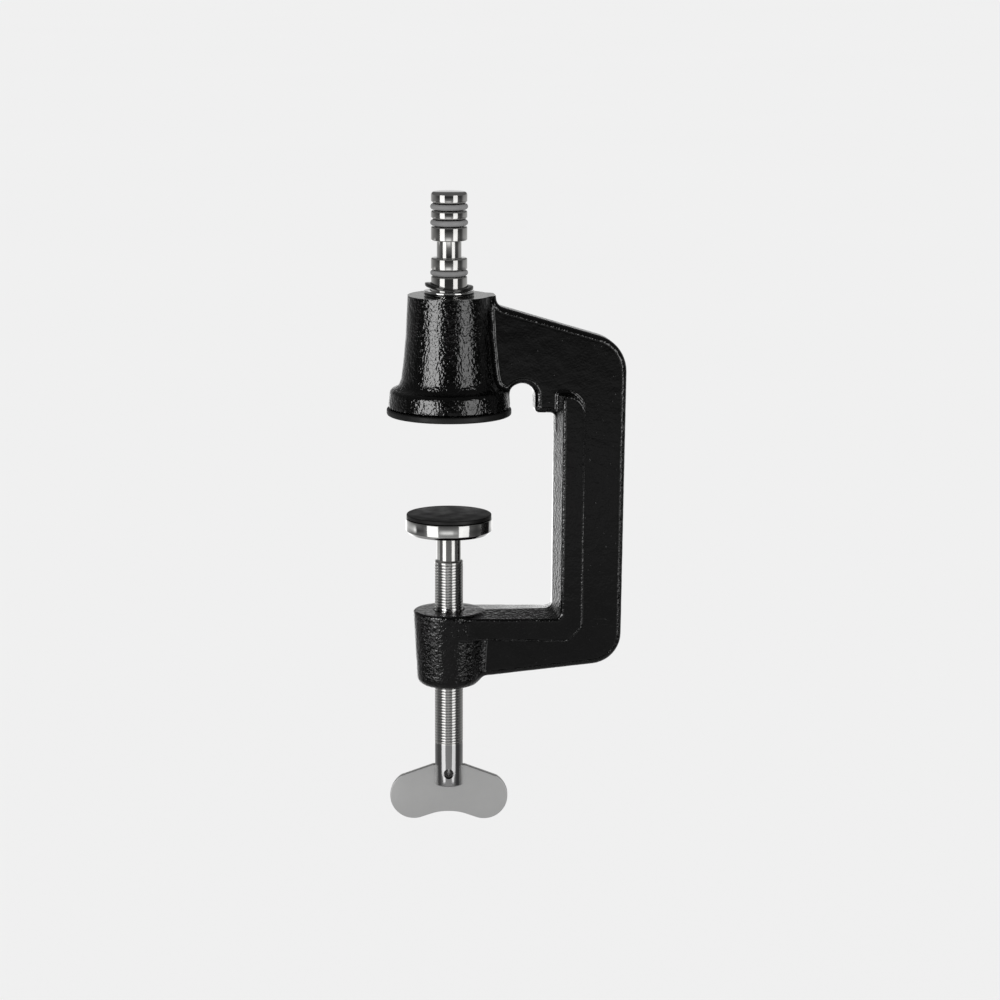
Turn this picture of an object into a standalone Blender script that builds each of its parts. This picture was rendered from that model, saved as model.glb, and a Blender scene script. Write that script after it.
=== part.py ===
"""Cast-iron table clamp with a turned steel spigot on top.

A C-shaped casting hooks over the edge of a table top. A threaded spindle with a
pressure disc closes the throat from below, turned by a flat wing plate. The spigot
carries O-rings and loose washers for the socket of whatever is set on it.

All sizes below are in millimetres and heights run from the jaw face, which is z = 0.
The spindle and the spigot share the Z axis, and the casting's web lies towards +X.
"""
import math

import bmesh
import bpy
from mathutils import Matrix, Vector

MM = 0.001
GAP = 0.3
OVERSHOOT = 1.0
MERGE = 0.00001
ROUND_STEPS = 48
POST_STEPS = 36
SMALL_STEPS = 28
HEX_SIDES = 6
RING_SIDES = 8
ARC_SEGMENTS = 6
SHARP_ANGLE = math.radians(32)

# Casting: upper boss and flange, as (radius, height) down the side
BOSS_TOP = 41.6
UPPER_BOSS_SIDE = [(14.3, BOSS_TOP), (15.0, 27.0), (15.85, 18.0), (16.6, 12.3), (17.4, 10.3), (18.6, 9.4)]
FLANGE_RIM = [(19.8, 8.9), (20.45, 8.1), (20.6, 7.2)]
FLANGE_FOOT_RADIUS = 21.1
LOWER_BOSS_TOP = -69.3
LOWER_BOSS_SIDE = [(12.3, LOWER_BOSS_TOP), (12.7, -69.8), (11.1, -92.6)]
LOWER_BOSS_FOOT = -95.9
LOWER_BOSS_FOOT_RADIUS = 3.2

# Casting: web outline as (x, z, corner radius), from the upper boss round to the notch
WEB_THICKNESS = 10.0
WEB_EDGE_RADIUS = 2.0
WEB_OUTLINE = [
    (8.0, 40.35, 0.0),
    (61.8, 24.15, 13.3),
    (60.4, -88.5, 10.9),
    (6.6, -93.2, 0.0),
    (6.6, -74.0, 0.0),
    (41.5, -74.0, 0.0),
    (41.5, -6.0, 0.0),
    (37.0, -6.0, 0.0),
    (37.0, 0.5, 2.5),
    (29.6, 0.5, 1.5),
    (29.6, 10.9, 4.6),
    (20.3, 10.9, 4.6),
    (20.3, 4.0, 0.0),
    (14.0, 4.0, 0.0),
]

# Casting: wide flange that lines the throat, as (x, z, corner radius)
FLANGE_HALF_DEPTH = 12.3
FLANGE_BACK = [(46.1, 7.6, 6.4), (45.6, -74.4, 1.5), (40.4, -79.4, 1.5), (0.0, -77.6, 0.0)]
FLANGE_EDGE_FRONT = [(0.0, -70.1, 0.0), (37.9, -71.2, 2.5), (38.4, 7.6, 0.0)]
FLANGE_RIDGE_FRONT = [(0.0, -69.4, 0.0), (36.4, -69.6, 2.5), (36.6, 7.6, 0.0)]
FLANGE_EDGE_RADIUS = 0.8

# Bores of the casting
SPIGOT_RADIUS = 6.25
SPIGOT_FOOT = 15.0
SCREW_RADIUS = 3.0
SCREW_HEAD_RADIUS = 5.25
COUNTERBORE_RADIUS = 6.8
COUNTERBORE_TOP = 9.8
THREAD_RADIUS = 5.0

# Spigot above the boss: each land as (top, bottom) between its grooves
SPIGOT_TOP = 77.2
SPIGOT_CHAMFER = 1.2
LAND_BEVEL = 0.4
GROOVE_RADIUS = 4.2
NECK_RADIUS = 4.25
LANDS = [(SPIGOT_TOP, 73.4), (70.8, 67.9), (65.3, 60.5), (54.5, 50.5), (48.2, SPIGOT_FOOT)]
NECK_ABOVE_LAND = 3
O_RINGS = {"o_ring_top": 72.1, "o_ring_middle": 66.6, "o_ring_lower": 49.35}
O_RING_RADIUS = 5.5
O_RING_SECTION = 1.0

# Washers round the foot of the spigot, each as (bottom, top)
WASHER_BORE = SPIGOT_RADIUS + GAP
WASHER_RADIUS = 8.65
SEAT_WASHER = (BOSS_TOP + GAP, 42.5)
THRUST_WASHER = (42.8, 43.5)
WAVE_RADIUS = 8.2
WAVE_MIDDLE = 45.0
WAVE_HEIGHT = 0.3
WAVE_LEAN = 0.6
WAVE_LEAN_TOWARDS = math.radians(165)
WAVE_THICKNESS = 0.5
WAVES = 2
WAVE_CREST = math.radians(0)
WAVE_POINTS = 72

# Screw that holds the spigot from inside the flange
SCREW_TIP = 28.0
SCREW_HEAD = (4.0, 7.5)
BUTTON_WAIST = 0.87
BUTTON_FLAT = 0.5
SCREW_SOCKET_RADIUS = 2.3
SCREW_SOCKET_DEPTH = 2.0
LOCK_WASHER = (7.8, 9.5)
LOCK_WASHER_RADIUS = 5.6
LOCK_WASHER_SPLIT = 0.8
SPIGOT_BORE_TOP = 30.0

# Jaw pad and pressure disc
PAD_RADIUS = 21.6
PAD_TOP = 2.3
PAD_EDGE = 0.6
FACING_TOP = -35.0
FACING_BOTTOM = -36.3
FACING_RADIUS = 14.8
DISC_TOP = -36.6
DISC_RIM_BOTTOM = -40.7
DISC_BOTTOM = -41.9
DISC_RADIUS = 15.0
DISC_CHAMFER = 1.2
DISC_RECESS_RADIUS = 6.2
DISC_RECESS_FLOOR = -39.0
TIP_RADIUS = 3.0
TIP_TOP = -37.0
RING_GROOVE = (-37.6, -38.9)
RING_GROOVE_RADIUS = 2.3
RETAINING_RING = (-37.85, -38.65)
RETAINING_RING_RADIUS = 5.2
RETAINING_RING_OPENING = 50.0

# Spindle below the disc
NECK_TOP = DISC_BOTTOM - GAP
NECK_BOTTOM = -51.5
THREAD_CHAMFER = 0.6
SPINDLE_END = -132.4
END_CHAMFER = 0.5

# Wing plate in the spindle's slot, its outline as (x, z, corner radius), right half
WING_TURN = math.radians(-7.5)
WING_THICKNESS = 2.3
WING_SHOULDER = -125.1
WING_HALF_OUTLINE = [
    (5.5, WING_SHOULDER, 0.5),
    (16.8, -129.2, 0.4),
    (20.7, -131.9, 8.3),
    (20.7, -144.8, 8.3),
    (11.0, -144.8, 8.3),
    (3.4, -142.5, 18.0),
]
PIN_HEIGHT = -127.6
PIN_RADIUS = 1.5
PIN_BORE_RADIUS = 0.8
PIN_HALF_LENGTH = 4.3
PIN_SLOT_ANGLE = 35.0


def clear_scene():
    for item in list(bpy.data.objects):
        bpy.data.objects.remove(item, do_unlink=True)


def new_collection(name):
    collection = bpy.data.collections.new(name)
    bpy.context.scene.collection.children.link(collection)
    return collection


def metal(name, colour, roughness, metallic):
    """Principled material with one colour, roughness and metallic value."""
    material = bpy.data.materials.new(name)
    material.use_nodes = True
    shader = material.node_tree.nodes["Principled BSDF"]
    shader.inputs["Base Color"].default_value = (*colour, 1.0)
    shader.inputs["Roughness"].default_value = roughness
    shader.inputs["Metallic"].default_value = metallic
    material.diffuse_color = (*colour, 1.0)
    return material


def add_object(name, mesh, collection, height=0.0):
    """Object on the shared axis, its origin at the given height."""
    piece = bpy.data.objects.new(name, mesh)
    piece.location = (0.0, 0.0, height * MM)
    collection.objects.link(piece)
    return piece


def hide_tool(piece):
    piece.hide_render = True
    piece.display_type = "WIRE"
    return piece


def settle(piece):
    """Apply the piece's modifiers, then shade it smooth with its real edges kept sharp."""
    bpy.context.view_layer.update()
    evaluated = piece.evaluated_get(bpy.context.evaluated_depsgraph_get())
    mesh = bpy.data.meshes.new_from_object(evaluated)
    mesh.name = piece.name
    piece.modifiers.clear()
    piece.data = mesh
    mesh.shade_smooth()
    mesh.set_sharp_from_angle(angle=SHARP_ANGLE)
    return piece


def turned(name, profile, collection, height=0.0, closed=False, steps=ROUND_STEPS):
    """Solid turned about Z from (radius, height) points that run down its outer side."""
    points = [(radius * MM, 0.0, (z - height) * MM) for radius, z in profile]
    edges = [(index, index + 1) for index in range(len(points) - 1)]
    if closed:
        edges.append((len(points) - 1, 0))
    mesh = bpy.data.meshes.new(name)
    mesh.from_pydata(points, edges, [])
    piece = add_object(name, mesh, collection, height)
    screw = piece.modifiers.new("Turn", "SCREW")
    screw.axis = "Z"
    screw.angle = math.tau
    screw.steps = steps
    screw.render_steps = steps
    screw.use_merge_vertices = True
    screw.merge_threshold = MERGE
    return piece


def washer(name, span, outer, inner, collection, steps=ROUND_STEPS):
    """Flat ring between two heights, its origin at its lower face."""
    low, high = min(span), max(span)
    profile = [(outer, high), (outer, low), (inner, low), (inner, high)]
    return turned(name, profile, collection, height=low, closed=True, steps=steps)


def rounded(corners, segments=ARC_SEGMENTS):
    """Closed outline through (x, z, radius) corners, each turned by an arc of its radius."""
    outline = []
    for index, (x, z, radius) in enumerate(corners):
        corner = Vector((x, z))
        if radius == 0.0:
            outline.append(corner)
            continue
        before = (Vector(corners[index - 1][:2]) - corner).normalized()
        after = (Vector(corners[(index + 1) % len(corners)][:2]) - corner).normalized()
        half = math.acos(max(-1.0, min(1.0, before.dot(after)))) / 2
        centre = corner + (before + after).normalized() * radius / math.sin(half)
        start = corner + before * radius / math.tan(half) - centre
        end = corner + after * radius / math.tan(half) - centre
        sweep = math.atan2(start.x * end.y - start.y * end.x, start.dot(end))
        for step in range(segments + 1):
            outline.append(centre + Matrix.Rotation(sweep * step / segments, 2) @ start)
    return outline


def plate(name, outline, thickness, collection, turn=0.0):
    """Flat plate: a filled (x, z) outline, extruded to both sides of the XZ plane, turned about Z."""
    curve = bpy.data.curves.new(name, "CURVE")
    curve.dimensions = "2D"
    curve.fill_mode = "BOTH"
    curve.extrude = thickness / 2 * MM
    spline = curve.splines.new("POLY")
    spline.points.add(len(outline) - 1)
    for point, corner in zip(spline.points, outline):
        point.co = (corner[0] * MM, corner[1] * MM, 0.0, 1.0)
    spline.use_cyclic_u = True
    guide = add_object(name + "_outline", curve, collection)
    guide.rotation_euler = (math.radians(90), 0.0, turn)
    return meshed(guide, name, collection)


def meshed(guide, name, collection):
    """Closed mesh object in place of a curve object."""
    bpy.context.view_layer.update()
    evaluated = guide.evaluated_get(bpy.context.evaluated_depsgraph_get())
    mesh = bpy.data.meshes.new_from_object(evaluated)
    mesh.name = name
    shape = bmesh.new()
    shape.from_mesh(mesh)
    bmesh.ops.remove_doubles(shape, verts=shape.verts, dist=MERGE)
    bmesh.ops.recalc_face_normals(shape, faces=shape.faces)
    shape.to_mesh(mesh)
    shape.free()
    piece = bpy.data.objects.new(name, mesh)
    piece.matrix_world = guide.matrix_world.copy()
    collection.objects.link(piece)
    bpy.data.objects.remove(guide, do_unlink=True)
    return piece


def round_edges(piece, width, segments=2, angle=40.0):
    bevel = piece.modifiers.new("Edges", "BEVEL")
    bevel.width = width * MM
    bevel.segments = segments
    bevel.limit_method = "ANGLE"
    bevel.angle_limit = math.radians(angle)
    return piece


def combine(piece, tool, operation):
    boolean = piece.modifiers.new(tool.name, "BOOLEAN")
    boolean.operation = operation
    boolean.solver = "EXACT"
    boolean.object = hide_tool(tool)


def join(piece, tool):
    combine(piece, tool, "UNION")


def cut(piece, tool):
    combine(piece, tool, "DIFFERENCE")


def bore_tool(name, radius, low, high, tools, steps=SMALL_STEPS):
    return turned(name, [(0.0, high), (radius, high), (radius, low), (0.0, low)], tools, steps=steps)


def cross_tool(name, radius, height, length, tools):
    """Round cutter across the spindle, square to the wing plate."""
    bpy.ops.mesh.primitive_cylinder_add(
        vertices=SMALL_STEPS,
        radius=radius * MM,
        depth=length * MM,
        location=(0.0, 0.0, height * MM),
        rotation=(math.radians(90), 0.0, WING_TURN),
    )
    return move_to(bpy.context.object, name, tools)


def box_tool(name, low, high, tools):
    bpy.ops.mesh.primitive_cube_add(size=1.0)
    box = bpy.context.object
    size = [(top - bottom) * MM for bottom, top in zip(low, high)]
    centre = [(top + bottom) / 2 * MM for bottom, top in zip(low, high)]
    box.data.transform(Matrix.Translation(centre) @ Matrix.Diagonal((*size, 1.0)))
    return move_to(box, name, tools)


def move_to(piece, name, collection):
    for owner in list(piece.users_collection):
        owner.objects.unlink(piece)
    collection.objects.link(piece)
    piece.name = name
    return piece


def throat_flange(tools):
    """Wide flange that lines the throat: its inner face rises to a low ridge on the parting line."""
    edge = rounded(FLANGE_EDGE_FRONT + FLANGE_BACK)
    ridge = rounded(FLANGE_RIDGE_FRONT + FLANGE_BACK)
    sections = [(-FLANGE_HALF_DEPTH, edge), (0.0, ridge), (FLANGE_HALF_DEPTH, edge)]
    shape = bmesh.new()
    rings = [[shape.verts.new((x * MM, y * MM, z * MM)) for x, z in outline] for y, outline in sections]
    for front, back in zip(rings, rings[1:]):
        for index in range(len(front)):
            after = (index + 1) % len(front)
            shape.faces.new((front[index], front[after], back[after], back[index]))
    shape.faces.new(rings[0])
    shape.faces.new(reversed(rings[-1]))
    bmesh.ops.recalc_face_normals(shape, faces=shape.faces)
    mesh = bpy.data.meshes.new("throat_flange_form")
    shape.to_mesh(mesh)
    shape.free()
    return round_edges(add_object("throat_flange_form", mesh, tools), FLANGE_EDGE_RADIUS)


def lower_boss(tools):
    """Threaded boss of the lower arm, with a well rounded foot."""
    curl = LOWER_BOSS_FOOT_RADIUS
    radius = LOWER_BOSS_SIDE[-1][0] - curl
    height = LOWER_BOSS_FOOT + curl
    turn = [math.radians(90) * step / ARC_SEGMENTS for step in range(1, ARC_SEGMENTS + 1)]
    foot = [(radius + curl * math.cos(angle), height - curl * math.sin(angle)) for angle in turn]
    profile = [(0.0, LOWER_BOSS_TOP)] + LOWER_BOSS_SIDE + foot + [(0.0, LOWER_BOSS_FOOT)]
    return turned("lower_boss_form", profile, tools)


def upper_boss(tools):
    foot = PAD_TOP + GAP
    profile = [(0.0, BOSS_TOP)] + UPPER_BOSS_SIDE + FLANGE_RIM
    profile += [(FLANGE_FOOT_RADIUS, foot), (0.0, foot)]
    return turned("upper_boss_form", profile, tools)


def clamp_frame(parts, tools):
    """The casting: a web plate joined to both bosses and the throat's flange, then bored."""
    frame = round_edges(plate("clamp_frame", rounded(WEB_OUTLINE), WEB_THICKNESS, parts), WEB_EDGE_RADIUS)
    join(frame, upper_boss(tools))
    join(frame, lower_boss(tools))
    join(frame, throat_flange(tools))
    floor = SPIGOT_FOOT - GAP
    bores = [
        ("spigot_bore", SPIGOT_RADIUS + GAP, floor, BOSS_TOP + OVERSHOOT),
        ("screw_clearance", SCREW_RADIUS + GAP, COUNTERBORE_TOP - OVERSHOOT, floor + OVERSHOOT),
        ("screw_counterbore", COUNTERBORE_RADIUS, PAD_TOP - OVERSHOOT, COUNTERBORE_TOP),
        ("spindle_bore", THREAD_RADIUS + GAP, LOWER_BOSS_FOOT - OVERSHOOT, LOWER_BOSS_TOP + OVERSHOOT),
    ]
    for name, radius, low, high in bores:
        cut(frame, bore_tool(name, radius, low, high, tools))
    return settle(frame)


def spigot(parts, tools):
    """Turned post: five lands with O-ring grooves and a locking neck between them."""
    profile = [(0.0, SPIGOT_TOP), (SPIGOT_RADIUS - SPIGOT_CHAMFER, SPIGOT_TOP)]
    for index, (top, bottom) in enumerate(LANDS):
        waist = NECK_RADIUS if index == NECK_ABOVE_LAND else GROOVE_RADIUS
        rise = SPIGOT_CHAMFER if index == 0 else LAND_BEVEL
        if index > 0:
            profile += [(waist, top), (SPIGOT_RADIUS - rise, top)]
        profile += [(SPIGOT_RADIUS, top - rise), (SPIGOT_RADIUS, bottom + LAND_BEVEL)]
        profile.append((SPIGOT_RADIUS - LAND_BEVEL, bottom))
        if index + 1 < len(LANDS):
            below = NECK_RADIUS if index + 1 == NECK_ABOVE_LAND else GROOVE_RADIUS
            profile.append((below, bottom))
    profile.append((0.0, SPIGOT_FOOT))
    post = turned("spigot", profile, parts, steps=POST_STEPS)
    below = SPIGOT_FOOT - OVERSHOOT
    cut(post, bore_tool("spigot_thread_bore", SCREW_RADIUS + GAP, below, SPIGOT_BORE_TOP, tools))
    return settle(post)


def o_rings(parts):
    rings = []
    for name, height in O_RINGS.items():
        bpy.ops.mesh.primitive_torus_add(
            major_segments=POST_STEPS,
            minor_segments=RING_SIDES,
            major_radius=O_RING_RADIUS * MM,
            minor_radius=O_RING_SECTION * MM,
            location=(0.0, 0.0, height * MM),
        )
        rings.append(settle(move_to(bpy.context.object, name, parts)))
    return rings


def wave_washer(parts):
    """Spring washer: a thin ring bent across, low at front and back, that lies leaning to the right."""
    shape = bmesh.new()
    edges = []
    for radius in (WASHER_BORE, WAVE_RADIUS):
        circle = []
        for index in range(WAVE_POINTS):
            angle = math.tau * index / WAVE_POINTS
            rise = WAVE_HEIGHT * math.cos(WAVES * (angle - WAVE_CREST))
            rise += WAVE_LEAN * math.cos(angle - WAVE_LEAN_TOWARDS)
            point = Vector((radius * math.cos(angle), radius * math.sin(angle), rise)) * MM
            circle.append(shape.verts.new(point))
        edges.append(circle)
    inner, outer = edges
    for index in range(WAVE_POINTS):
        after = (index + 1) % WAVE_POINTS
        shape.faces.new((inner[index], outer[index], outer[after], inner[after]))
    mesh = bpy.data.meshes.new("wave_washer")
    shape.to_mesh(mesh)
    shape.free()
    ring = add_object("wave_washer", mesh, parts, WAVE_MIDDLE)
    solidify = ring.modifiers.new("Thickness", "SOLIDIFY")
    solidify.thickness = WAVE_THICKNESS * MM
    solidify.offset = 0.0
    return settle(ring)


def fixing_screw(parts, tools):
    """Button-head screw that comes up through the flange into the spigot."""
    low, high = SCREW_HEAD
    profile = [
        (0.0, SCREW_TIP),
        (SCREW_RADIUS - END_CHAMFER, SCREW_TIP),
        (SCREW_RADIUS, SCREW_TIP - END_CHAMFER),
        (SCREW_RADIUS, high),
        (SCREW_HEAD_RADIUS, high),
        (SCREW_HEAD_RADIUS * BUTTON_WAIST, (low + high) / 2),
        (SCREW_HEAD_RADIUS * BUTTON_FLAT, low),
        (0.0, low),
    ]
    screw = turned("spigot_screw", profile, parts, steps=SMALL_STEPS)
    floor = low + SCREW_SOCKET_DEPTH
    socket = bore_tool("screw_socket", SCREW_SOCKET_RADIUS, low - OVERSHOOT, floor, tools, steps=HEX_SIDES)
    cut(screw, socket)
    return settle(screw)


def lock_washer(parts, tools):
    """Split spring washer under the screw's head."""
    bore = SCREW_RADIUS + GAP
    ring = washer("spigot_lock_washer", LOCK_WASHER, LOCK_WASHER_RADIUS, bore, parts, SMALL_STEPS)
    half = LOCK_WASHER_SPLIT / 2
    low, high = LOCK_WASHER[0] - OVERSHOOT, LOCK_WASHER[1] + OVERSHOOT
    cut(ring, box_tool("lock_washer_split", (0.0, -half, low), (COUNTERBORE_RADIUS, half, high), tools))
    return settle(ring)


def jaw_pad(parts):
    """Rubber disc under the flange, its lower face the jaw face."""
    profile = [
        (0.0, PAD_TOP),
        (PAD_RADIUS - PAD_EDGE, PAD_TOP),
        (PAD_RADIUS, PAD_TOP - PAD_EDGE),
        (PAD_RADIUS, PAD_EDGE),
        (PAD_RADIUS - PAD_EDGE, 0.0),
        (0.0, 0.0),
    ]
    return settle(turned("jaw_pad", profile, parts))


def pressure_disc(parts):
    """Steel disc with a chamfered lower rim and a recess on top for the spindle's tip."""
    hole = TIP_RADIUS + GAP
    profile = [
        (DISC_RADIUS, DISC_TOP),
        (DISC_RADIUS, DISC_RIM_BOTTOM),
        (DISC_RADIUS - DISC_CHAMFER, DISC_BOTTOM),
        (hole, DISC_BOTTOM),
        (hole, DISC_RECESS_FLOOR),
        (DISC_RECESS_RADIUS, DISC_RECESS_FLOOR),
        (DISC_RECESS_RADIUS, DISC_TOP),
    ]
    return settle(turned("pressure_disc", profile, parts, height=DISC_BOTTOM, closed=True))


def disc_facing(parts):
    """Thin friction facing on top of the disc."""
    span = (FACING_BOTTOM, FACING_TOP)
    profile = [(0.0, span[1]), (FACING_RADIUS, span[1]), (FACING_RADIUS, span[0]), (0.0, span[0])]
    return settle(turned("disc_facing", profile, parts, height=span[0]))


def retaining_ring(parts, tools):
    """Open ring in the tip's groove, which keeps the disc on the spindle."""
    inner = RING_GROOVE_RADIUS + GAP
    ring = washer("disc_retaining_ring", RETAINING_RING, RETAINING_RING_RADIUS, inner, parts, SMALL_STEPS)
    half = RETAINING_RING_RADIUS * math.sin(math.radians(RETAINING_RING_OPENING / 2))
    high, low = RETAINING_RING[0] + OVERSHOOT, RETAINING_RING[1] - OVERSHOOT
    reach = RETAINING_RING_RADIUS + OVERSHOOT
    cut(ring, box_tool("ring_opening", (-reach, -half, low), (0.0, half, high), tools))
    return settle(ring)


def clamp_spindle(parts, tools):
    """Screw spindle at its full diameter, with the disc's neck and tip above and a slotted end."""
    groove_top, groove_bottom = RING_GROOVE
    profile = [
        (0.0, TIP_TOP),
        (TIP_RADIUS, TIP_TOP),
        (TIP_RADIUS, groove_top),
        (RING_GROOVE_RADIUS, groove_top),
        (RING_GROOVE_RADIUS, groove_bottom),
        (TIP_RADIUS, groove_bottom),
        (TIP_RADIUS, NECK_TOP),
        (NECK_RADIUS, NECK_TOP),
        (NECK_RADIUS, NECK_BOTTOM),
        (THREAD_RADIUS, NECK_BOTTOM - THREAD_CHAMFER),
        (THREAD_RADIUS, SPINDLE_END + END_CHAMFER),
        (THREAD_RADIUS - END_CHAMFER, SPINDLE_END),
        (0.0, SPINDLE_END),
    ]
    spindle = turned("clamp_spindle", profile, parts, height=NECK_TOP, steps=POST_STEPS)
    half = WING_THICKNESS / 2 + GAP
    reach = THREAD_RADIUS + OVERSHOOT
    low, high = (-reach, -half, SPINDLE_END - OVERSHOOT), (reach, half, WING_SHOULDER + GAP)
    slot = box_tool("wing_slot", low, high, tools)
    slot.data.transform(Matrix.Rotation(WING_TURN, 4, "Z"))
    cut(spindle, slot)
    cut(spindle, cross_tool("pin_hole", PIN_RADIUS + GAP, PIN_HEIGHT, 2 * reach, tools))
    return settle(spindle)


def wing_plate(parts, tools):
    """Flat two-lobed plate that a finger and thumb turn."""
    left = [(-x, z, radius) for x, z, radius in reversed(WING_HALF_OUTLINE)]
    outline = rounded(WING_HALF_OUTLINE + left)
    wing = plate("wing_plate", outline, WING_THICKNESS, parts, WING_TURN)
    cut(wing, cross_tool("wing_hole", PIN_RADIUS + GAP, PIN_HEIGHT, 2 * WING_THICKNESS, tools))
    return settle(wing)


def wing_pin(parts):
    """Slotted spring pin across the spindle, through the wing plate."""
    opening = math.radians(PIN_SLOT_ANGLE)
    start = math.radians(90) + opening / 2
    sweep = math.tau - opening
    angles = [start + sweep * step / SMALL_STEPS for step in range(SMALL_STEPS + 1)]
    path = [(PIN_RADIUS, a) for a in angles] + [(PIN_BORE_RADIUS, a) for a in reversed(angles)]
    outline = [(radius * math.cos(a), PIN_HEIGHT + radius * math.sin(a)) for radius, a in path]
    return settle(plate("wing_pin", outline, 2 * PIN_HALF_LENGTH, parts, WING_TURN))


def joint_empty(name, height, parent, parts):
    """Empty on a joint's axis, which carries the pieces that move on that joint."""
    empty = add_object(name, None, parts, height)
    attach(empty, parent)
    return empty


def attach(piece, parent):
    if parent is not None:
        bpy.context.view_layer.update()
        piece.parent = parent
        piece.matrix_parent_inverse = parent.matrix_world.inverted()


def main():
    clear_scene()
    parts = new_collection("table_clamp_with_spigot")
    tools = new_collection("forms_and_cutters")

    enamel = ((0.018, 0.018, 0.019), 0.28, 0.0)
    turned_steel = ((0.62, 0.61, 0.59), 0.22, 1.0)
    plain_steel = ((0.45, 0.45, 0.44), 0.38, 1.0)
    spring_steel = ((0.16, 0.155, 0.15), 0.4, 1.0)
    black_rubber = ((0.015, 0.015, 0.016), 0.7, 0.0)
    grey_rubber = ((0.11, 0.11, 0.11), 0.6, 0.0)

    fixed = [(clamp_frame(parts, tools), enamel), (spigot(parts, tools), turned_steel)]
    fixed += [(ring, grey_rubber) for ring in o_rings(parts)]
    seat = washer("seat_washer", SEAT_WASHER, WASHER_RADIUS, WASHER_BORE, parts)
    fixed += [(settle(seat), black_rubber), (fixing_screw(parts, tools), plain_steel)]
    fixed += [(lock_washer(parts, tools), spring_steel), (jaw_pad(parts), black_rubber)]
    thrust = washer("thrust_washer", THRUST_WASHER, WASHER_RADIUS, WASHER_BORE, parts)
    loose = [(settle(thrust), plain_steel), (wave_washer(parts), spring_steel)]
    sliding = [(pressure_disc(parts), plain_steel), (disc_facing(parts), black_rubber)]
    sliding.append((retaining_ring(parts, tools), spring_steel))
    turning = [(clamp_spindle(parts, tools), turned_steel), (wing_plate(parts, tools), plain_steel)]
    turning.append((wing_pin(parts), spring_steel))

    washer_axis = joint_empty("washer_axis", THRUST_WASHER[0], None, parts)
    disc_axis = joint_empty("disc_axis", DISC_BOTTOM, None, parts)
    spindle_axis = joint_empty("spindle_axis", NECK_TOP, disc_axis, parts)
    groups = [(fixed, None), (loose, washer_axis), (sliding, disc_axis), (turning, spindle_axis)]
    for group, parent in groups:
        for piece, (colour, roughness, metallic) in group:
            piece.data.materials.clear()
            piece.data.materials.append(metal(piece.name, colour, roughness, metallic))
            attach(piece, parent)


main()
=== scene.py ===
"""Looks of a cast-iron table clamp with a turned steel spigot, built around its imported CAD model.

Lengths named in capitals are in millimetres unless a name says otherwise. Heights run from the
jaw face at z = 0, and the spigot and the spindle share the Z axis.
"""
import math

import bmesh
import bpy
import numpy as np
from mathutils import Matrix, Vector, noise


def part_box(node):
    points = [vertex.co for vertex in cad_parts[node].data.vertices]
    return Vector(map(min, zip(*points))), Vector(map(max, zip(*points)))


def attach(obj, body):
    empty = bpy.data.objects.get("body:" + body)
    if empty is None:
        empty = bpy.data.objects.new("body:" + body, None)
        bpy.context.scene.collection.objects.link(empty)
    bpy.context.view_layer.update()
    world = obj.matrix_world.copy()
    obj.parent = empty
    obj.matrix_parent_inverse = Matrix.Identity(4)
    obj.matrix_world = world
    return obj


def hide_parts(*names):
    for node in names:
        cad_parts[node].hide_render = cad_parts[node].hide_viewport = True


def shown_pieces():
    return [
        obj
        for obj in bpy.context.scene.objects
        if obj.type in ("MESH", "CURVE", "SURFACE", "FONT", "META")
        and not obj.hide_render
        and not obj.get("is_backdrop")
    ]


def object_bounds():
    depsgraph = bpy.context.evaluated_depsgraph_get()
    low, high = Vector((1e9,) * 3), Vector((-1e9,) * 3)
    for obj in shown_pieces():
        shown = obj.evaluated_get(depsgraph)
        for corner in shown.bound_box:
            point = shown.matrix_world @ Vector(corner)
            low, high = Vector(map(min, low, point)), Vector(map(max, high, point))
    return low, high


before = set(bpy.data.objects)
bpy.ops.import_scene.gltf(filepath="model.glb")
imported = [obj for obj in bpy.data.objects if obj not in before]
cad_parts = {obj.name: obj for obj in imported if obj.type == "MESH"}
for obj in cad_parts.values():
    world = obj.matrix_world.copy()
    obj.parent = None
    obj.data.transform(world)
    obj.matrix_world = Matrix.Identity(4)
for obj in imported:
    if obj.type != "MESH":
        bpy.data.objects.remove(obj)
cad_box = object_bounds()

MM = 0.001
SHARP = math.radians(35)

# Camera, set to the viewing angle at which the clamp is shown
CAMERA_PLACE = (-0.1296, -1.12037, 0.187)
CAMERA_TURN = (79.0999, -0.1964, -7.4622)
CAMERA_LENS = 118.8
CAMERA_AZIMUTH = math.radians(-7.46)

# Studio, in metres
FLOOR_DROP = 0.36
FLOOR_REACH = 40.0
DOME_RADIUS = 1.5
SOFTBOX_DISTANCE = 0.9
# Panels of the softboxes as (top, foot, left sides, left radiance, right sides, right radiance),
# the sides in degrees from the camera's side, positive to the right
ENAMEL_PANELS = [
    (0.42, -0.15, (-56.0, -24.5), 14.2, (30.8, 59.2), 6.0),
    (-0.15, -0.4, (-62.0, -30.0), 2.8, (36.0, 62.0), 1.7),
    (-0.22, -0.3, (-90.0, -68.0), 4.2, (68.0, 90.0), 3.2),
]
METAL_PANELS = [(0.42, -0.48, (-59.5, -28.0), 1.55, (27.3, 55.7), 1.3)]
SKY = 0.968
FLOOR_LIGHT, FLOOR_DARK = (0.904, 0.904, 0.904), (0.896, 0.896, 0.896)

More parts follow.
